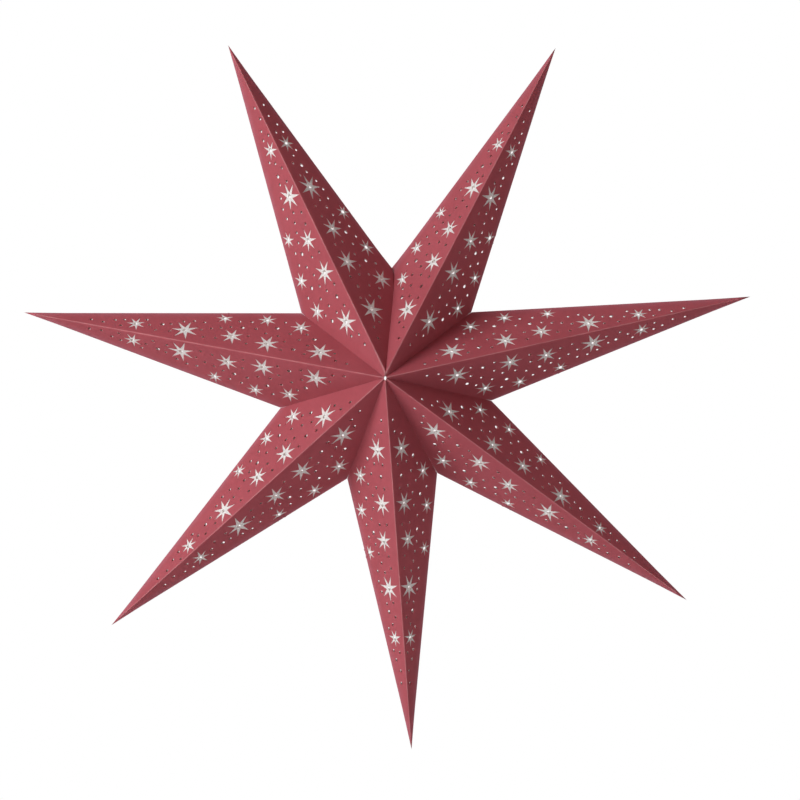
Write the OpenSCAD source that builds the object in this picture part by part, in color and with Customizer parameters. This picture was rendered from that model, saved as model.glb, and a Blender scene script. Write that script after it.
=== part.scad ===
// Seven-pointed paper star lantern, hung upright with its front facing -Y.
// Each point is one folded card sheet, open towards the middle, with a thin white liner inside it.

/* [Star] */
// Distance from the centre of the tips' circle to each tip
tip_radius = 350; // [250:5:450]
// Distance from the same centre to a valley corner
valley_radius = 102.5; // [85:0.5:125]
// How far the middle stands out, in front and behind
rise = 80; // [60:1:110]
// How far the middle sits to the left of the tips' circle
middle_offset = 3.5; // [0:0.5:6]
// How far the middle sits above the tips' circle's centre
middle_raise = 1; // [0:0.5:4]

/* [Card] */
// Thickness of the coloured card
card_thickness = 0.4; // [0.2:0.05:0.8]
// Width of the glued flap along each valley fold
flap_width = 10; // [6:1:16]
// Diameter of the hole left where the points meet, front and back
middle_hole_d = 5; // [4:0.5:12]

/* [Liner] */
// Thickness of the white liner paper
liner_thickness = 0.15; // [0.1:0.05:0.3]
// How far the liner stops short of each tip
liner_tip_gap = 30; // [20:1:40]
// Radius kept free of liner paper around the middle
liner_middle_r = 8; // [6:1:20]

/* [Cut-outs] */
// Inner radius of a cut-out star as a share of its outer radius
star_waist = 0.3; // [0.2:0.01:0.5]
// Diameter of an ordinary punched dot
dot_d = 3; // [1:0.1:4]
// Diameter of a large punched dot
big_dot_d = 4; // [1:0.1:5]
// Diameter of the pinhole in the liner behind each star
pinhole_d = 3.2; // [1:0.1:4]
// How far the pinhole sits from the star's centre, towards the tip
pinhole_shift = 1; // [0:0.1:2]

/* [Seam] */
// Width of the slit at the top valley, at its outer end
seam_gap = 1.2; // [0.6:0.1:3]
// Width of the tape strips that hold the seam shut
tape_width = 8; // [4:1:12]
// Length of the tape strips
tape_length = 50; // [20:1:70]

/* [Hidden] */

point_count = 7;
pitch = 360 / point_count;
// Points are counted clockwise from the upper left one, as seen from the front
first_tip = 90 + pitch / 2;
// Folded by hand, the star is a little uneven: how far each tip and each valley
// leans anticlockwise from its even place, and how far each valley corner gives way outwards
tip_lean = [0, -1, 0, 2, 3.5, 3, 2.5];
valley_lean = [-1.5, 0.5, 1, 1.5, 3, 2, 1.5];
valley_give = [3, -1.5, -3, -2, 0, 4, 1.5];
seam_half = asin(seam_gap / 2 / valley_radius);

// The face that the cut-outs were laid out on: length of its ridge, width at its valley corner,
// and how far along the ridge that corner lies. The cut-outs follow the face when it changes.
// Places are measured from the tip along the ridge, and from the ridge towards the valley.
drawn_face = [359, 72.5, 250.5];
// Stars: place along, place across, outer radius
stars = [[107, 12.5, 10.5], [155, 16, 14.5], [185.5, 44, 9.5], [200.5, 19, 12.5],
         [225, 52.5, 10.5], [236, 17.5, 13.5], [259, 50.5, 11.5], [288, 19.5, 14.5]];
star_rays = 7;
star_turn = 84;
// Dots: place along, place across
ridge_dots = [[64, 7], [76, 6.5], [94, 6], [128, 8.5], [141.5, 10.5], [175, 10.5], [186.5, 12.5],
              [217, 12], [251.5, 12], [274.5, 12], [306, 11], [317.5, 9.5]];
middle_dots = [[86, 12.5], [94.5, 15.5], [115, 21], [120, 14], [139, 21], [169.5, 20.5], [178, 25],
               [215.5, 23.5], [251, 25], [274, 25.5], [302, 21]];
valley_dots = [[149.5, 28], [159, 32], [169, 32.5], [186.5, 28.5], [195, 32.5], [200.5, 43],
               [212, 45.5], [219, 36.5], [230, 32], [242.5, 31.5], [242.5, 54], [252.5, 38],
               [263.5, 31.5], [268, 42]];
big_dots = [[131.5, 18.5], [206, 34.5], [238, 43], [262.5, 16], [277, 36.5]];

// Room that a cutting shape takes beyond the surface it cuts
over = 1;

front = -1;
back = 1;
left = -1;
right = 1;

function unit(v) = v / norm(v);
function at(angle, radius) =
    [middle_offset + radius * cos(angle), 0, radius * sin(angle) - middle_raise];
function tip(i) = at(first_tip - i * pitch + tip_lean[i], tip_radius);
function apex(face) = [0, face * rise, 0];
// The valley on one side of point i; the seam parts points 1 and 2
function valley_index(i, side) = side == right ? i : (i + point_count - 1) % point_count;
function seam_turn(i, side) = valley_index(i, side) == 0 ? side * seam_half : 0;
function valley(i, side) =
    let (j = valley_index(i, side))
    at(90 - j * pitch + valley_lean[j] + seam_turn(i, side), valley_radius + valley_give[j]);

// A face's own axes: along the ridge from the tip, across it to the valley, and outwards
function along(i, face) = unit(apex(face) - tip(i));
function ridge_length(i, face) = norm(apex(face) - tip(i));
function valley_along(i, side, face) = (valley(i, side) - tip(i)) * along(i, face);
function valley_across(i, side, face) =
    norm(valley(i, side) - tip(i) - valley_along(i, side, face) * along(i, face));
function across(i, side, face) =
    unit(valley(i, side) - tip(i) - valley_along(i, side, face) * along(i, face));
function placed(x, y, z, origin) =
    [[x[0], y[0], z[0], origin[0]], [x[1], y[1], z[1], origin[1]], [x[2], y[2], z[2], origin[2]],
     [0, 0, 0, 1]];
function face_axes(i, side, face) =
    let (x = along(i, face), y = across(i, side, face))
    placed(x, y, -side * face * cross(x, y), tip(i));

// The glue plane between two points: outwards from the middle, and towards the given face
function glue_axes(i, side, face) =
    let (x = unit(valley(i, side)), y = [0, face, 0])
    placed(x, y, -side * [x[2], 0, -x[0]], [0, 0, 0]);

module star_outline(r) {
    polygon([for (k = [0 : 2 * star_rays - 1])
        let (a = star_turn + k * 180 / star_rays, reach = k % 2 == 0 ? r : r * star_waist)
        [reach * cos(a), reach * sin(a)]]);
}

// Where a drawn place lies on a face, as the same shares of the ways to its middle and its valley
function place(p, i, side, face) =
    let (to_valley = p[1] / drawn_face[1],
         to_middle = (p[0] - to_valley * drawn_face[2]) / drawn_face[0])
    [to_middle * ridge_length(i, face) + to_valley * valley_along(i, side, face),
     to_valley * valley_across(i, side, face)];

// Everything punched through both card and liner, on one face
module dots(i, side, face) {
    for (p = concat(ridge_dots, middle_dots, valley_dots))
        translate(place(p, i, side, face)) circle(d = dot_d, $fn = 24);
    for (p = big_dots)
        translate(place(p, i, side, face)) circle(d = big_dot_d, $fn = 24);
}

module star_cuts(i, side, face) {
    for (s = stars)
        translate(place(s, i, side, face))
            star_outline(s[2] * valley_across(i, side, face) / drawn_face[1]);
}

module pinholes(i, side, face) {
    for (s = stars)
        translate(place(s, i, side, face) - [pinhole_shift, 0]) circle(d = pinhole_d, $fn = 24);
}

// One face's outline, carried past its folds
module face_outline(i, side, face) {
    length = ridge_length(i, face);
    x = valley_along(i, side, face);
    y = valley_across(i, side, face);
    polygon([[-5 * over, -over], [length + 2 * over, -over], [x + over, y + 2 * over],
             [x - 3 * over, y + 2 * over]]);
}

// The star hangs from the outer end of its seam, and that is the part's origin
hang_point = (valley(0, right) + valley(1, left)) / 2;

module hung() {
    translate(-hang_point) children();
}

// A layer parallel to one face, between two depths under its surface
module layer(i, side, face, from, to) {
    multmatrix(face_axes(i, side, face))
        translate([0, 0, -to])
            linear_extrude(to - from)
                children();
}

module card_face(i, side, face) {
    layer(i, side, face, -over, card_thickness)
        difference() {
            face_outline(i, side, face);
            star_cuts(i, side, face);
            dots(i, side, face);
        }
}

module liner_face(i, side, face) {
    layer(i, side, face, card_thickness / 2, card_thickness + liner_thickness)
        difference() {
            face_outline(i, side, face);
            pinholes(i, side, face);
            dots(i, side, face);
        }
}

// The narrow end of a point, which its liner doesn't reach
module tip_room(i) {
    x = unit(-tip(i));
    multmatrix(placed(x, [0, 1, 0], [-x[2], 0, x[0]], tip(i)))
        translate([-over, -rise, -rise])
            cube([over + liner_tip_gap, 2 * rise, 2 * rise]);
}

// The room that one folded point takes up, down to the middle
module point_room(i) {
    polyhedron(
        points = [tip(i), apex(front), apex(back), valley(i, left), valley(i, right)],
        faces = [[0, 1, 3], [0, 4, 1], [0, 2, 4], [0, 3, 2], [1, 2, 3], [1, 4, 2]]);
}

// The flap glued to the next point, cut at a slant at both ends
module flap(i, side, face) {
    reach = norm(valley(i, side));
    edge = unit([reach, -rise]);
    inward = [edge[1], -edge[0]];
    slant = 1.5 * flap_width;
    multmatrix(glue_axes(i, side, face))
        translate([0, 0, -over])
            linear_extrude(card_thickness + over)
                polygon([[0, rise], [reach, 0], [reach, 0] - slant * edge + flap_width * inward,
                         [0, rise] + slant * edge + flap_width * inward]);
}

module middle_hole(d) {
    rotate([90, 0, 0]) cylinder(h = 2 * rise + 2 * over, d = d, center = true, $fn = 48);
}

module point(i) {
    color([0.66, 0.27, 0.3])
        difference() {
            intersection() {
                point_room(i);
                union() {
                    for (face = [front, back], side = [left, right]) {
                        card_face(i, side, face);
                        flap(i, side, face);
                    }
                }
            }
            middle_hole(middle_hole_d);
        }
}

// Solid cutters for all that the card of one point fills
module card_room(i) {
    for (face = [front, back], side = [left, right])
        layer(i, side, face, -over, card_thickness)
            face_outline(i, side, face);
    for (side = [left, right])
        multmatrix(glue_axes(i, side, back))
            translate([-over, -rise - over, -over])
                cube([valley_radius * 1.2, 2 * (rise + over), card_thickness + over]);
}

module liner(i) {
    color([0.94, 0.93, 0.9])
        difference() {
            intersection() {
                point_room(i);
                union() {
                    for (face = [front, back], side = [left, right])
                        liner_face(i, side, face);
                }
            }
            card_room(i);
            tip_room(i);
            middle_hole(2 * liner_middle_r);
        }
}

// A strip of tape between the two end flaps of the star, filling the seam's slit
module seam_tape(face) {
    reach = norm(valley(0, right));
    edge = unit([reach, -rise]);
    inward = [edge[1], -edge[0]];
    start = [0, rise] + (norm([reach, rise]) - tape_length) / 2 * edge
        + (flap_width - tape_width) / 2 * inward;
    color([0.9, 0.89, 0.85])
        intersection() {
            rotate([90, 0, 0])
                linear_extrude(2 * rise, center = true)
                    polygon([[0, 0], [valley(0, right)[0], valley(0, right)[2]],
                             [valley(1, left)[0], valley(1, left)[2]]]);
            multmatrix(glue_axes(0, right, face))
                translate([0, 0, -seam_gap - over])
                    linear_extrude(seam_gap + 2 * over)
                        polygon([start, start + tape_length * edge,
                                 start + tape_length * edge + tape_width * inward,
                                 start + tape_width * inward]);
        }
}

hung() point(0);  // point_1
hung() point(1);  // point_2
hung() point(2);  // point_3
hung() point(3);  // point_4
hung() point(4);  // point_5
hung() point(5);  // point_6
hung() point(6);  // point_7
hung() liner(0);  // liner_1
hung() liner(1);  // liner_2
hung() liner(2);  // liner_3
hung() liner(3);  // liner_4
hung() liner(4);  // liner_5
hung() liner(5);  // liner_6
hung() liner(6);  // liner_7
hung() seam_tape(front);  // seam_tape_front
hung() seam_tape(back);  // seam_tape_back
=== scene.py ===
import math

import bpy
from mathutils import Matrix, Vector


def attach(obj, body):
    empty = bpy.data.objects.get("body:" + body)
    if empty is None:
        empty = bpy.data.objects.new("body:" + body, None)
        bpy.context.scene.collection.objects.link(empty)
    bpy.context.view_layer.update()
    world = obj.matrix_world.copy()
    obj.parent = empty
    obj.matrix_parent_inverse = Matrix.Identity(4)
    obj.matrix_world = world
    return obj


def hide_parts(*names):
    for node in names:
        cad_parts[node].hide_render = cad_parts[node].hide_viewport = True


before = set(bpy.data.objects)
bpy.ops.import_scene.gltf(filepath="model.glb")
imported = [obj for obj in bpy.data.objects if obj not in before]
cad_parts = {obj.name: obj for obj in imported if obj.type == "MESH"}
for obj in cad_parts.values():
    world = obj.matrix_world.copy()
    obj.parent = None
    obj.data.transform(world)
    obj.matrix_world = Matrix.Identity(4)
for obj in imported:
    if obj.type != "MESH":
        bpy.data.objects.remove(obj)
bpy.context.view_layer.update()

millimetre = 0.001
left, right = -1, 1
front, back = -1, 1

# The lantern's own measures: metres, and degrees anticlockwise as the photograph shows it
star = {
    "points": 7,
    "tipRadius": 0.350,
    "valleyRadius": 0.1025,
    "rise": 0.080,  # how far the middle stands out, in front and behind
    "middleOffset": 0.0035,
    "middleRaise": 0.001,
    "tipLean": (0, -1, 0, 2, 3.5, 3, 2.5),
    "valleyLean": (-1.5, 0.5, 1, 1.5, 3, 2, 1.5),
    "valleyGive": (0.003, -0.0015, -0.003, -0.002, 0, 0.004, 0.0015),
    "seamGap": 0.0012,
}
pitch = 360 / star["points"]


def fromCentre(angle, radius):
    turn = math.radians(angle)
    return Vector((star["middleOffset"] + radius * math.cos(turn), 0,
                   radius * math.sin(turn) - star["middleRaise"]))


def tipOf(point):
    return fromCentre(90 + pitch / 2 - point * pitch + star["tipLean"][point], star["tipRadius"])


def valleyOf(point, side):
    fold = point if side == right else (point - 1) % star["points"]
    halfGap = math.degrees(math.asin(star["seamGap"] / 2 / star["valleyRadius"]))
    turn = side * halfGap if fold == 0 else 0
    return fromCentre(90 - fold * pitch + star["valleyLean"][fold] + turn,
                      star["valleyRadius"] + star["valleyGive"][fold])


hangPoint = (valleyOf(0, right) + valleyOf(1, left)) / 2
middle = -hangPoint


# A face's tip, its directions along the ridge, across it and outwards, and its own sizes
def faceOf(point, side, face):
    tip = tipOf(point) - hangPoint
    ridge = middle + Vector((0, face * star["rise"], 0)) - tip
    along = ridge.normalized()
    corner = valleyOf(point, side) - hangPoint - tip
    reach = corner.dot(along)
    across = corner - along * reach
    width = across.length
    across.normalize()
    outwards = along.cross(across) * (-side * face)
    return {"tip": tip, "along": along, "across": across, "outwards": outwards,
            "length": ridge.length, "reach": reach, "width": width, "shift": Vector()}


# What lies inside the card keeps to the same four planes, a little further in
def insideFaceOf(point, side, face, depth):
    normals = [faceOf(point, s, f)["outwards"]
               for s, f in ((left, front), (right, front), (left, back))]
    flat = faceOf(point, side, face)
    flat["shift"] = Matrix(normals).inverted() @ Vector((-depth, -depth, -depth))
    return flat


# Where a spot of a flat sheet lies: shares of the way to the middle, the valley and the tip
def sharesOf(flat, x, y):
    x += flat["shift"].dot(flat["along"])
    y += flat["shift"].dot(flat["across"])
    toValley = y / flat["width"]
    toMiddle = (x - toValley * flat["reach"]) / flat["length"]
    return toMiddle, toValley, max(0, 1 - toMiddle - toValley)


# The seam isn't straight: it bows aside, and the ridges of the two points beside it lean to it
seam = {
    "bow": 2.8 * millimetre,
    "bowRise": 0.4,
    "bowFall": 1.8,
    "bowFade": 0.15,  # share of the way to the tip
    "lean": (Vector((2.6, 0, 1.2)) * millimetre, Vector((-1.25, 0, 0.65)) * millimetre),
    "clearance": 0.1 * millimetre,
    "meeting": 0.85,  # the two ridges may meet beyond this share of the way to the middle
}
bowPeak = seam["bowRise"] / (seam["bowRise"] + seam["bowFall"])
tiny = 1e-6  # keeps a share's divisor from being nothing


# The seam lies between the first two points
def besideSeam(point, side):
    return (point, side) in ((0, right), (1, left))


# How far the seam bows aside, by the share of the way down it from its outer end
def bowAt(down):
    def curve(share):
        return share ** seam["bowRise"] * (1 - share) ** seam["bowFall"]
    return seam["bow"] * curve(min(max(down, 0), 1)) / curve(bowPeak)


# How far a spot of a face moves with the bow and with the lean
def drawnAside(point, side, face, toMiddle, toValley, toTip):
    moved = Vector()
    if point > 1:
        return moved
    if face == front:
        share = toMiddle
        if not besideSeam(point, side):
            share *= toTip / max(toTip + toValley, tiny)
        moved += seam["lean"][point] * share
    if besideSeam(point, side):
        fade = max(0, 1 - toTip / seam["bowFade"]) ** 2
        moved.x -= face * fade * bowAt(toMiddle / max(toMiddle + toValley, tiny))
    return moved


# Near the middle the two leaning ridges meet, and neither crosses the seam
def keptAside(place, point):
    radial = hangPoint - middle - Vector((0, hangPoint.y, 0))
    aside = Vector((radial.z, 0, -radial.x)).normalized() * (1 if point == 0 else -1)
    beyond = (place - middle).dot(aside) + seam["clearance"]
    if beyond > 0:
        place -= aside * beyond


# The cut-outs, in millimetres along the ridge from the tip and across it towards the valley
pattern = {
    "drawnLength": 359,
    "drawnWidth": 72.5,
    "drawnReach": 250.5,
    "rays": 7,
    "starWaist": 0.3,
    "starTurn": 84,
    "stars": ((107, 12.5, 10.5), (155, 16, 14.5), (185.5, 44, 9.5), (200.5, 19, 12.5),
              (225, 52.5, 10.5), (236, 17.5, 13.5), (259, 50.5, 11.5), (288, 19.5, 14.5)),
    "dots": ((64, 7), (76, 6.5), (94, 6), (128, 8.5), (141.5, 10.5), (175, 10.5), (186.5, 12.5),
             (217, 12), (251.5, 12), (274.5, 12), (306, 11), (317.5, 9.5),
             (86, 12.5), (94.5, 15.5), (115, 21), (120, 14), (139, 21), (169.5, 20.5), (178, 25),
             (215.5, 23.5), (251, 25), (274, 25.5), (302, 21),
             (149.5, 28), (159, 32), (169, 32.5), (186.5, 28.5), (195, 32.5), (200.5, 43),
             (212, 45.5), (219, 36.5), (230, 32), (242.5, 31.5), (242.5, 54), (252.5, 38),
             (263.5, 31.5), (268, 42)),
    "bigDots": ((131.5, 18.5), (206, 34.5), (238, 43), (262.5, 16), (277, 36.5)),
    "dotSize": 3,
    "bigDotSize": 4,
    "dotCorners": 16,
    "pinholeSize": 3.8,
    "pinholeShift": 0.6,
    # How far each point's cut-outs sit off their drawn places: towards the middle, and clockwise on
    # the ridge, which fades towards the creases. The skew is a slope, towards the tip on the clockwise
    # side. The back differs from the front by the last two.
    "slipAlong": (2, 0.3, 0, -0.7, -1, -0.7, 0.6),
    "slipRound": (2.1, 2.3, 1.8, 2.3, 1.8, -2, 0.7),
    "skew": (0.01, 0.02, 0.01, 0.01, 0.015, -0.01, 0.03),
    "backAlong": (0, 0, 0.1, 0.7, 0.8, 0.8, 1),
    "backRound": (0.8, 0.9, 0.2, -0.7, 1, 0, 0.6),
}


def alone(piece):
    bpy.ops.object.select_all(action="DESELECT")
    piece.select_set(True)
    bpy.context.view_layer.objects.active = piece


def startEdit(piece):
    alone(piece)
    bpy.ops.object.mode_set(mode="EDIT")
    bpy.ops.mesh.select_mode(type="VERT")
    bpy.ops.mesh.select_all(action="SELECT")


def endEdit():
    bpy.ops.object.mode_set(mode="OBJECT")


def copyOf(piece, name):
    new = bpy.data.objects.new(name, piece.data.copy())
    bpy.context.scene.collection.objects.link(new)
    return new


def joined(pieces, name):
    bpy.ops.object.select_all(action="DESELECT")
    for piece in pieces:
        piece.select_set(True)
    bpy.context.view_layer.objects.active = pieces[0]
    bpy.ops.object.join()
    pieces[0].name = pieces[0].data.name = name
    return pieces[0]


def applied(piece, kind, **settings):
    alone(piece)
    modifier = piece.modifiers.new(kind.lower(), kind)
    for name, value in settings.items():
        setattr(modifier, name, value)
    bpy.ops.object.modifier_apply(modifier=modifier.name)


# One star cutter of radius 1: a ring with every other corner pulled in to the waist
def makeCutter():
    bpy.ops.object.select_all(action="DESELECT")
    bpy.ops.mesh.primitive_circle_add(vertices=2 * pattern["rays"], radius=1)
    cutter = bpy.context.object
    turn = math.radians(pattern["starTurn"] - 90)
    cutter.data.transform(Matrix.Rotation(turn, 4, "Z"))
    halfStep = 180 / pattern["rays"]
    startEdit(cutter)
    bpy.ops.mesh.select_all(action="DESELECT")
    endEdit()
    for corner in cutter.data.vertices:
        angle = math.degrees(math.atan2(corner.co.y, corner.co.x)) - pattern["starTurn"]
        corner.select = round(angle / halfStep) % 2 == 1
    bpy.ops.object.mode_set(mode="EDIT")
    waist = pattern["starWaist"]
    bpy.ops.transform.resize(value=(waist, waist, 1), center_override=(0, 0, 0))
    endEdit()
    return cutter


starCutter = makeCutter()
bpy.ops.mesh.primitive_circle_add(vertices=pattern["dotCorners"], radius=0.5)
dotCutter = bpy.context.object


# One face lying flat, x along its ridge and y across it, with everything cut out of it
def makeSheet(flat, point, side, face, withStars):
    length, reach, width = flat["length"], flat["reach"], flat["width"]
    size = width / (pattern["drawnWidth"] * millimetre)
    slideX, slideY = flat["shift"].dot(flat["along"]), flat["shift"].dot(flat["across"])
    rims = []
    slipX, slipY = pattern["slipAlong"][point], pattern["slipRound"][point]
    if face == back:
        slipX += pattern["backAlong"][point]
        slipY += pattern["backRound"][point]

    def cut(cutter, x, y, across, shift=0):
        x += slipX - side * y * pattern["skew"][point]
        y += slipY * side * (1 - y / pattern["drawnWidth"])
        toValley = y / pattern["drawnWidth"]
        toMiddle = (x - toValley * pattern["drawnReach"]) / pattern["drawnLength"]
        rim = copyOf(cutter, "rim")
        rim.data.transform(Matrix.Translation(
            (toMiddle * length + toValley * reach - shift - slideX, toValley * width - slideY, 0))
            @ Matrix.Scale(across * millimetre, 4))
        rims.append(rim)

    for x, y in pattern["dots"]:
        cut(dotCutter, x, y, pattern["dotSize"])
    for x, y in pattern["bigDots"]:
        cut(dotCutter, x, y, pattern["bigDotSize"])
    for x, y, radius in pattern["stars"]:
        if withStars:
            cut(starCutter, x, y, radius * size)
        else:
            cut(dotCutter, x, y, pattern["pinholeSize"], pattern["pinholeShift"] * millimetre)
    bpy.ops.object.select_all(action="DESELECT")
    bpy.ops.mesh.primitive_circle_add(vertices=3, radius=1)
    outline = bpy.context.object
    for corner, place in zip(outline.data.vertices, ((0, 0, 0), (length, 0, 0), (reach, width, 0))):
        corner.co = place
    sheet = joined([*rims, outline], "sheet")
    startEdit(sheet)
    bpy.ops.mesh.fill(use_beauty=True)
    endEdit()
    return sheet


# How the card is scored, and how it bends
fold = {
    "stations": 28,  # lines across the ridge
    "lanes": (0.012, 0.03, 0.07, 0.2, 0.4, 0.6, 0.8, 0.92, 0.97, 0.988),  # shares from ridge to crease
    "softness": 0.8 * millimetre,
    "tipSoftness": 0.08,  # softness at the narrow end, as a share of the width there
    "bulge": 0.5 * millimetre,
    "cardThickness": 0.4 * millimetre,
    "flapWidth": 10 * millimetre,
    "middleHole": (1.2 * millimetre, 2.3 * millimetre),  # half its width and half its height
    "flapSlant": 1.5,  # how far the slanted ends run, in flap widths
    "weld": 0.02 * millimetre,
    "scoreTolerance": 1e-7,
    "cutTolerance": 1e-6,
    "edgeTolerance": 1e-5,  # a spot whose share to the tip is under this lies on the valley edge
    "crown": 27,  # brings the product of the three shares to 1 halfway between the corners
    "middleStations": (1.5, 3, 5, 8),  # millimetres from the middle, on the points beside the seam
    "seamStations": (0.01, 0.03, 0.06, 0.1, 0.15),  # shares of the way to the tip
}


# The lines that a flat sheet bends along: straight across, and fanned out from the tip
def scored(sheet, flat, point, side):
    length, slope = flat["length"], flat["width"] / flat["reach"]

    def line(place, normal):
        bpy.ops.mesh.select_all(action="SELECT")
        bpy.ops.mesh.bisect(plane_co=place, plane_no=normal, threshold=fold["scoreTolerance"])

    startEdit(sheet)
    for k in range(1, fold["stations"]):
        line((length * k / fold["stations"], 0, 0), (1, 0, 0))
    for lane in fold["lanes"]:
        line((0, 0, 0), (-slope * lane, 1, 0))
    if point < 2:
        for gap in fold["middleStations"]:
            line((length - gap * millimetre, 0, 0), (1, 0, 0))
        if besideSeam(point, side):
            for share in fold["seamStations"]:
                line((length * (1 - share), 0, 0), (flat["width"], length - flat["reach"], 0))
    endEdit()


def edgeName(side, face):
    return "valleyEdge_%s_%s" % ("left" if side == left else "right",
                                 "front" if face == front else "back")


# How far a spot beside a soft fold moves along its own face and along the other one
def softStep(distance, softness):
    root = math.sqrt(distance ** 2 + softness ** 2)
    return (root - distance) / 2


# Lays a flat sheet on its place in the star, with soft folds at ridge and crease
def folded(sheet, point, side, face, flat):
    other = faceOf(point, -side, face)
    behind = faceOf(point, side, -face)

    def inFromCrease(f):
        crease = (f["along"] * f["reach"] + f["across"] * f["width"]).normalized()
        return (f["along"] - crease * f["along"].dot(crease)).normalized()

    inHere, inBehind = inFromCrease(flat), inFromCrease(behind)
    slope = math.atan2(flat["width"], flat["reach"])
    places = [v.co.copy() for v in sheet.data.vertices]
    fromCreases = [x * math.sin(slope) - y * math.cos(slope) for x, y, _ in places]
    uv = sheet.data.uv_layers.new(name="fromFolds")  # metres from the ridge, and from the crease
    for loop in sheet.data.loops:
        uv.data[loop.index].uv = (places[loop.vertex_index].y, fromCreases[loop.vertex_index])
    valleyEdge = sheet.vertex_groups.new(name=edgeName(side, face))
    for v, (x, y, _), fromCrease in zip(sheet.data.vertices, places, fromCreases):
        softness = min(fold["softness"], fold["tipSoftness"] * x * math.tan(slope))
        atRidge = softStep(y, softness)
        atCrease = softStep(fromCrease, softness)
        toMiddle, toValley, toTip = sharesOf(flat, x, y)
        if toTip < fold["edgeTolerance"]:
            valleyEdge.add([v.index], 1, "REPLACE")
        crown = fold["crown"] * toValley * toMiddle * toTip * fold["bulge"]
        v.co = (flat["tip"] + flat["shift"] + flat["along"] * x + flat["across"] * y
                + (flat["across"] + other["across"]) * atRidge + (inHere + inBehind) * atCrease
                + flat["outwards"] * crown
                + drawnAside(point, side, face, toMiddle, toValley, toTip))
        if point < 2 and face == front and toMiddle > seam["meeting"]:
            keptAside(v.co, point)
    startEdit(sheet)
    bpy.ops.mesh.normals_make_consistent(inside=False)
    endEdit()
    facing = sum(p.area * p.normal.dot(flat["outwards"]) for p in sheet.data.polygons)
    if facing < 0:
        startEdit(sheet)
        bpy.ops.mesh.flip_normals()
        endEdit()


# The four faces of one point, joined along their folds
def makePoint(point, name, withStars, depth=0, trim=None):
    sheets = []
    for face in (front, back):
        for side in (left, right):
            flat = insideFaceOf(point, side, face, depth)
            sheet = makeSheet(flat, point, side, face, withStars)
            if trim:
                trim(sheet, flat)
            scored(sheet, flat, point, side)
            folded(sheet, point, side, face, flat)
            sheets.append(sheet)
    piece = joined(sheets, name)
    startEdit(piece)
    bpy.ops.mesh.remove_doubles(threshold=fold["weld"])
    endEdit()
    return piece


# Takes away everything beyond a plane
def cutAt(piece, place, direction):
    startEdit(piece)
    bpy.ops.mesh.bisect(plane_co=place, plane_no=direction, clear_outer=True,
                        threshold=fold["cutTolerance"])
    endEdit()


# Pulls the glue flaps out of the valley edges, inwards and cut at a slant at both ends
def addFlaps(piece, point):
    for side in (left, right):
        corner = valleyOf(point, side)
        outwards = corner.normalized()
        for face in (front, back):
            top = middle + Vector((0, face * star["rise"], 0))
            edge = middle + corner - top
            edgeLength = edge.length
            edge.normalize()
            inwards = (-outwards * star["rise"] - Vector((0, face, 0)) * corner.length).normalized()
            startEdit(piece)
            bpy.ops.mesh.select_all(action="DESELECT")
            piece.vertex_groups.active_index = piece.vertex_groups[edgeName(side, face)].index
            bpy.ops.object.vertex_group_select()
            bpy.ops.mesh.select_mode(type="EDGE")
            bpy.ops.mesh.extrude_edges_indiv()
            bpy.ops.transform.translate(value=inwards * fold["flapWidth"])
            endEdit()
            slant = fold["flapSlant"] * fold["flapWidth"]
            for v in piece.data.vertices:
                if v.select:
                    share = (v.co - top).dot(edge) / edgeLength
                    v.co += edge * slant * (1 - 2 * share)
    for loop in piece.data.loops:
        uv = piece.data.uv_layers["fromFolds"].data[loop.index].uv
        if uv.length == 0:
            uv.xy = (fold["flapWidth"], fold["flapWidth"])


# The card of one point, cut open at the middle, with its flaps and its thickness
def makeCard(point, material):
    piece = makePoint(point, "card_%d" % (point + 1), True)
    axis = (middle - (tipOf(point) - hangPoint)).normalized()
    halfWidth, halfHeight = fold["middleHole"]
    cutAt(piece, middle - axis / math.hypot(axis.x / halfWidth, axis.z / halfHeight), axis)
    addFlaps(piece, point)
    applied(piece, "SOLIDIFY", thickness=fold["cardThickness"], offset=-1)
    finish(piece, material, "point_%d" % (point + 1))
    return piece


lining = {
    "thickness": 0.15 * millimetre,
    "tipGap": 30 * millimetre,
    "middleGap": 8 * millimetre,
    "valleyGap": 1.2 * millimetre,
    "clearance": 0.05 * millimetre,
}


# The liner stops short of the tip, the middle and the glue flaps
def trimLiner(sheet, flat):
    slide = Vector((flat["shift"].dot(flat["along"]), flat["shift"].dot(flat["across"]), 0))
    end = Vector((flat["length"], 0, 0)) - slide
    cutAt(sheet, Vector((lining["tipGap"], 0, 0)) - slide, (-1, 0, 0))
    cutAt(sheet, end - Vector((lining["middleGap"], 0, 0)), (1, 0, 0))
    valley = Vector((flat["width"], flat["length"] - flat["reach"], 0)).normalized()
    cutAt(sheet, end - valley * lining["valleyGap"], valley)


def makeLiner(point, material):
    piece = makePoint(point, "lining_%d" % (point + 1), False,
                      fold["cardThickness"] + lining["clearance"], trimLiner)
    applied(piece, "SOLIDIFY", thickness=lining["thickness"], offset=-1)
    finish(piece, material, "liner_%d" % (point + 1))
    return piece


strip = {
    "stations": 16,  # lines across a strip of tape
}


# A strip of tape keeps its CAD shape, but follows the bow of the seam that it holds
def makeTape(face, name, material):
    node = "seam_tape_" + name
    tape = copyOf(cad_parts[node], "tape_" + name)
    startEdit(tape)
    bpy.ops.mesh.remove_doubles(threshold=fold["weld"])
    top = middle + Vector((0, face * star["rise"], 0))
    edge = -top
    for k in range(1, strip["stations"]):
        bpy.ops.mesh.select_all(action="SELECT")
        bpy.ops.mesh.bisect(plane_co=top + edge * k / strip["stations"], plane_no=edge,
                            threshold=fold["scoreTolerance"])
    endEdit()
    for v in tape.data.vertices:
        toMiddle = 1 - (v.co - top).dot(edge) / edge.length_squared
        v.co += drawnAside(0, right, face, toMiddle, 1 - toMiddle, 0)
    finish(tape, material, node)


smoothUpTo = 30  # degrees between faces


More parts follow.
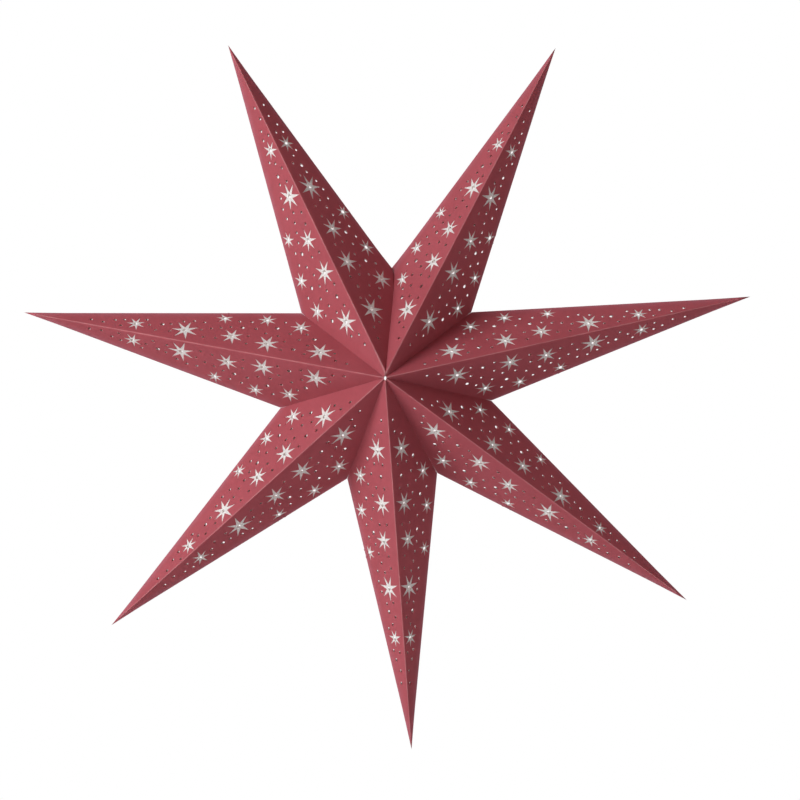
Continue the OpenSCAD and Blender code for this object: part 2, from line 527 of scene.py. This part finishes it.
# Gives a piece its paper, hangs it on the root body and hides the CAD node that it stands in for
def finish(piece, material, node):
    alone(piece)
    bpy.ops.object.shade_smooth_by_angle(angle=math.radians(smoothUpTo))
    piece.data.materials.clear()
    piece.data.materials.append(material)
    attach(piece, "root")
    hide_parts(node)


# Adds a node, with its settings and the values of its inputs
def put(tree, kind, values=None, **settings):
    node = tree.nodes.new("ShaderNode" + kind)
    for name, value in settings.items():
        setattr(node, name, value)
    for name, value in (values or {}).items():
        node.inputs[name].default_value = value
    return node


def newGroup(name, inputs, outputs):
    group = bpy.data.node_groups.new(name, "ShaderNodeTree")
    for direction, sockets in (("INPUT", inputs), ("OUTPUT", outputs)):
        for socket, kind in sockets:
            group.interface.new_socket(name=socket, in_out=direction, socket_type="NodeSocket" + kind)
    return group, group.nodes.new("NodeGroupInput"), group.nodes.new("NodeGroupOutput")


def placed(tree, group, values):
    node = tree.nodes.new("ShaderNodeGroup")
    node.node_tree = group
    for name, value in values.items():
        node.inputs[name].default_value = value
    return node


# The pulp of a paper: clouds, fibres and a fine tooth, as a tone about 0.5 and a height
def makePulp():
    group, given, out = newGroup(
        "paperPulp",
        (("Vector", "Vector"), ("Tooth", "Float"), ("Clouds", "Float"), ("Fibres", "Float")),
        (("Tone", "Float"), ("Height", "Float")))
    links = group.links
    tooth = put(group, "TexNoise", {"Detail": 3.0, "Roughness": 0.6})
    clouds = put(group, "TexNoise", {"Detail": 4.0, "Roughness": 0.55})
    stretch = put(group, "Mapping", {"Scale": (1.0, 1.0, 0.12), "Rotation": (0.5, 0.3, 0.7)})
    fibres = put(group, "TexNoise", {"Detail": 2.0, "Distortion": 0.4})
    links.new(given.outputs["Vector"], tooth.inputs["Vector"])
    links.new(given.outputs["Vector"], clouds.inputs["Vector"])
    links.new(given.outputs["Vector"], stretch.inputs["Vector"])
    links.new(stretch.outputs["Vector"], fibres.inputs["Vector"])
    for scale, noise in (("Tooth", tooth), ("Clouds", clouds), ("Fibres", fibres)):
        links.new(given.outputs[scale], noise.inputs["Scale"])
    tone = put(group, "Mix", {"Factor": 0.4}, data_type="FLOAT")
    height = put(group, "Mix", {"Factor": 0.5}, data_type="FLOAT")
    links.new(clouds.outputs["Fac"], tone.inputs["A"])
    links.new(fibres.outputs["Fac"], tone.inputs["B"])
    links.new(tooth.outputs["Fac"], height.inputs["A"])
    links.new(fibres.outputs["Fac"], height.inputs["B"])
    links.new(tone.outputs["Result"], out.inputs["Tone"])
    links.new(height.outputs["Result"], out.inputs["Height"])
    return group


# How much a spot is touched by a fold that lies some way off, broken up a little
def makeNearFold():
    group, given, out = newGroup(
        "nearFold",
        (("Distance", "Float"), ("Width", "Float"), ("Vector", "Vector"), ("Scale", "Float")),
        (("Mask", "Float"),))
    links = group.links
    ratio = put(group, "Math", operation="DIVIDE")
    fade = put(group, "MapRange", {"To Min": 1.0, "To Max": 0.0}, interpolation_type="SMOOTHSTEP")
    noise = put(group, "TexNoise", {"Detail": 2.0})
    patchy = put(group, "MapRange", {"From Min": 0.3, "From Max": 0.6, "To Min": 0.45})
    mask = put(group, "Math", operation="MULTIPLY")
    links.new(given.outputs["Distance"], ratio.inputs[0])
    links.new(given.outputs["Width"], ratio.inputs[1])
    links.new(ratio.outputs[0], fade.inputs["Value"])
    links.new(given.outputs["Vector"], noise.inputs["Vector"])
    links.new(given.outputs["Scale"], noise.inputs["Scale"])
    links.new(noise.outputs["Fac"], patchy.inputs["Value"])
    links.new(fade.outputs["Result"], mask.inputs[0])
    links.new(patchy.outputs["Result"], mask.inputs[1])
    links.new(mask.outputs[0], out.inputs["Mask"])
    return group


pulp = makePulp()
nearFold = makeNearFold()

rose = {
    "deep": (0.51, 0.118, 0.147, 1),
    "pale": (0.60, 0.153, 0.188, 1),
    "throughColour": (0.76, 0.33, 0.34, 1),
    "ridgeWearAndHighlight": (0.76, 0.37, 0.39, 1),  # where the ridge has been creased: partly real wear, partly a painted highlight of the rounded fold catching light
    "creaseSheen": (0.59, 0.205, 0.262, 1),  # painted sheen towards the side creases, where light from behind grazes the edges
    # how far in from the side creases the painted sheen reaches
    "ridgeWidth": 1.1 * millimetre,
    "creaseSheenWidth": 9 * millimetre,
    # how fine the patches of ridge wear and of painted sheen are
    "wearAndSheenScale": 60,
    "sheen": 0.25,
    "tooth": 1400,
    "clouds": 22,
    "fibres": 500,
    "through": 0.44,  # how much light the card lets through
    "roughness": (0.6, 0.75),
    "bump": 0.25,
    "relief": 0.06 * millimetre,
}


# A paper that lets some light through; its colour is joined on later by the tone of its pulp
def paperShader(name, settings):
    material = bpy.data.materials.new(name)
    material.use_nodes = True
    tree = material.node_tree
    shader = tree.nodes["Principled BSDF"]
    shader.inputs["Specular IOR Level"].default_value = settings["sheen"]
    where = put(tree, "TexCoord")
    grain = placed(tree, pulp, {"Tooth": settings["tooth"], "Clouds": settings["clouds"],
                                "Fibres": settings["fibres"]})
    roughness = put(tree, "MapRange", {"To Min": settings["roughness"][0],
                                       "To Max": settings["roughness"][1]})
    bump = put(tree, "Bump", {"Strength": settings["bump"], "Distance": settings["relief"]})
    tree.links.new(where.outputs["Object"], grain.inputs["Vector"])
    tree.links.new(grain.outputs["Tone"], roughness.inputs["Value"])
    tree.links.new(roughness.outputs["Result"], shader.inputs["Roughness"])
    tree.links.new(grain.outputs["Height"], bump.inputs["Height"])
    tree.links.new(bump.outputs["Normal"], shader.inputs["Normal"])
    through = put(tree, "BsdfTranslucent", {"Color": settings["throughColour"]})
    mix = put(tree, "MixShader", {"Fac": settings["through"]})
    tree.links.new(shader.outputs["BSDF"], mix.inputs[1])
    tree.links.new(through.outputs["BSDF"], mix.inputs[2])
    tree.links.new(mix.outputs["Shader"], tree.nodes["Material Output"].inputs["Surface"])
    tone = put(tree, "MapRange", {"From Min": 0.3, "From Max": 0.7})
    tree.links.new(grain.outputs["Tone"], tone.inputs["Value"])
    return material, tree, shader, where, tone.outputs["Result"]


# Mixes towards a colour by a mask; the first colour may be a node's output
def blended(tree, factor, first, second):
    mix = put(tree, "Mix", data_type="RGBA")
    colours = [socket for socket in mix.inputs if socket.type == "RGBA"]
    for socket, colour in zip(colours, (first, second)):
        if isinstance(colour, tuple):
            socket.default_value = colour
        else:
            tree.links.new(colour, socket)
    tree.links.new(factor, mix.inputs["Factor"])
    return [socket for socket in mix.outputs if socket.type == "RGBA"][0]


def cardMaterial():
    material, tree, shader, where, tone = paperShader("roseCard", rose)
    folds = put(tree, "UVMap", uv_map="fromFolds")
    apart = put(tree, "SeparateXYZ")
    tree.links.new(folds.outputs["UV"], apart.inputs["Vector"])
    masks = []
    # masks of the ridge line (wear and painted highlight) and of the painted sheen near the side
    # creases
    for axis, width in (("X", rose["ridgeWidth"]), ("Y", rose["creaseSheenWidth"])):
        near = placed(tree, nearFold, {"Width": width, "Scale": rose["wearAndSheenScale"]})
        tree.links.new(apart.outputs[axis], near.inputs["Distance"])
        tree.links.new(where.outputs["Object"], near.inputs["Vector"])
        masks.append(near.outputs["Mask"])
    colour = blended(tree, tone, rose["deep"], rose["pale"])
    # painted sheen: the card turns paler and more purple towards the side creases
    colour = blended(tree, masks[1], colour, rose["creaseSheen"])
    # painted highlight, with some wear: a thin paler, less red line along the ridge fold
    colour = blended(tree, masks[0], colour, rose["ridgeWearAndHighlight"])
    tree.links.new(colour, shader.inputs["Base Color"])
    return material


white = {
    "shade": (0.93, 0.925, 0.92, 1),
    "light": (0.97, 0.97, 0.965, 1),
    "throughColour": (0.95, 0.92, 0.89, 1),
    "sheen": 0.2,
    "tooth": 1800,
    "clouds": 90,
    "fibres": 700,
    "through": 0.45,
    "roughness": (0.8, 0.95),
    "bump": 0.3,
    "relief": 0.05 * millimetre,
}


def linerMaterial():
    material, tree, shader, where, tone = paperShader("linerPaper", white)
    tree.links.new(blended(tree, tone, white["shade"], white["light"]), shader.inputs["Base Color"])
    return material


roseCard = cardMaterial()
linerPaper = linerMaterial()
print("cutting and folding the seven points")
for point in range(star["points"]):
    makeCard(point, roseCard)
    makeLiner(point, linerPaper)
for cutter in (starCutter, dotCutter):
    bpy.data.objects.remove(cutter)
for face, name in ((front, "front"), (back, "back")):
    makeTape(face, name, linerPaper)

print("setting up the studio")
studio = {
    "floorHeight": -0.62,
    "floorSize": 3.0,
    "floorTone": 0.85,
    "keySide": 158,  # degrees round the picture, anticlockwise from the right
    "keyFront": 37,  # degrees out of the picture towards the camera
    "keyDistance": 3.0,
    "keySize": 1.3,
    "keyStrength": 0.81,  # how bright it makes white paper that faces it
    "backStrength": 1.0,
    "backSize": 2.0,
    "ambientFront": 0.14,
    "ambientBehind": 0.6,
    "turnsFrom": -0.15,  # the light comes mostly from the white backdrop behind the lantern
    "turnsTo": 0.35,
}


def makeLamp(name, towards, size, strength):
    data = bpy.data.lights.new(name, "AREA")
    data.size = size
    data.energy = strength * math.pi ** 2 * studio["keyDistance"] ** 2
    lamp = bpy.data.objects.new(name, data)
    lamp.location = middle + towards * studio["keyDistance"]
    lamp.rotation_euler = towards.to_track_quat("Z", "Y").to_euler()
    lamp.visible_camera = False
    bpy.context.scene.collection.objects.link(lamp)


def makeLights():
    side, forward = math.radians(studio["keySide"]), math.radians(studio["keyFront"])
    makeLamp("keyLight", Vector((math.cos(forward) * math.cos(side), -math.sin(forward),
                                 math.cos(forward) * math.sin(side))),
             studio["keySize"], studio["keyStrength"])
    makeLamp("backLight", Vector((0, 1, 0)), studio["backSize"], studio["backStrength"])


# White where it is looked at; as a light it is dim in front and brighter behind the lantern
def makeWorld():
    world = bpy.data.worlds.new("studio")
    bpy.context.scene.world = world
    world.use_nodes = True
    tree, links = world.node_tree, world.node_tree.links
    background = tree.nodes["Background"]
    path = put(tree, "LightPath")
    seen = put(tree, "Math", operation="MAXIMUM")
    seenToo = put(tree, "Math", operation="MAXIMUM")
    strength = put(tree, "MapRange", {"To Max": 1.0})
    where = put(tree, "TexCoord")
    apart = put(tree, "SeparateXYZ")
    ambient = put(tree, "MapRange", {"From Min": studio["turnsFrom"], "From Max": studio["turnsTo"],
                                     "To Min": studio["ambientFront"],
                                     "To Max": studio["ambientBehind"]})
    links.new(where.outputs["Generated"], apart.inputs["Vector"])
    links.new(apart.outputs["Y"], ambient.inputs["Value"])
    links.new(ambient.outputs["Result"], strength.inputs["To Min"])
    links.new(path.outputs["Is Camera Ray"], seen.inputs[0])
    links.new(path.outputs["Is Glossy Ray"], seen.inputs[1])
    links.new(seen.outputs[0], seenToo.inputs[0])
    links.new(path.outputs["Is Transmission Ray"], seenToo.inputs[1])
    links.new(seenToo.outputs[0], strength.inputs["Value"])
    links.new(strength.outputs["Result"], background.inputs["Strength"])
    background.inputs["Color"].default_value = (1, 1, 1, 1)


def makeFloor():
    bpy.ops.object.select_all(action="DESELECT")
    bpy.ops.mesh.primitive_plane_add(size=studio["floorSize"], location=(0, 0, studio["floorHeight"]))
    floor = bpy.context.object
    floor.name = "floor"
    paint = bpy.data.materials.new("floorPaint")
    paint.use_nodes = True
    colour = (studio["floorTone"], studio["floorTone"], studio["floorTone"], 1)
    paint.node_tree.nodes["Principled BSDF"].inputs["Base Color"].default_value = colour
    floor.data.materials.append(paint)


# Where the photograph's frame lies, in the lantern's own frame
photo = {
    "width": 800,
    "pixel": 0.944 * millimetre,  # at the depth of the tips
    "centre": (0.0077, 0.0, -0.1252),  # what the middle of the picture shows
    "distance": 5.7,
    "sensor": 36,
    "clipEnd": 50,
}


def makeCamera():
    data = bpy.data.cameras.new("camera")
    data.sensor_width = photo["sensor"]
    data.lens = data.sensor_width * photo["distance"] / (photo["width"] * photo["pixel"])
    data.clip_end = photo["clipEnd"]
    camera = bpy.data.objects.new("camera", data)
    camera.location = Vector(photo["centre"]) - Vector((0, photo["distance"], 0))
    camera.rotation_euler = (math.radians(90), 0, 0)
    bpy.context.scene.collection.objects.link(camera)
    bpy.context.scene.camera = camera


makeFloor()
makeLights()
makeWorld()
makeCamera()
bpy.context.scene.view_settings.view_transform = "Standard"
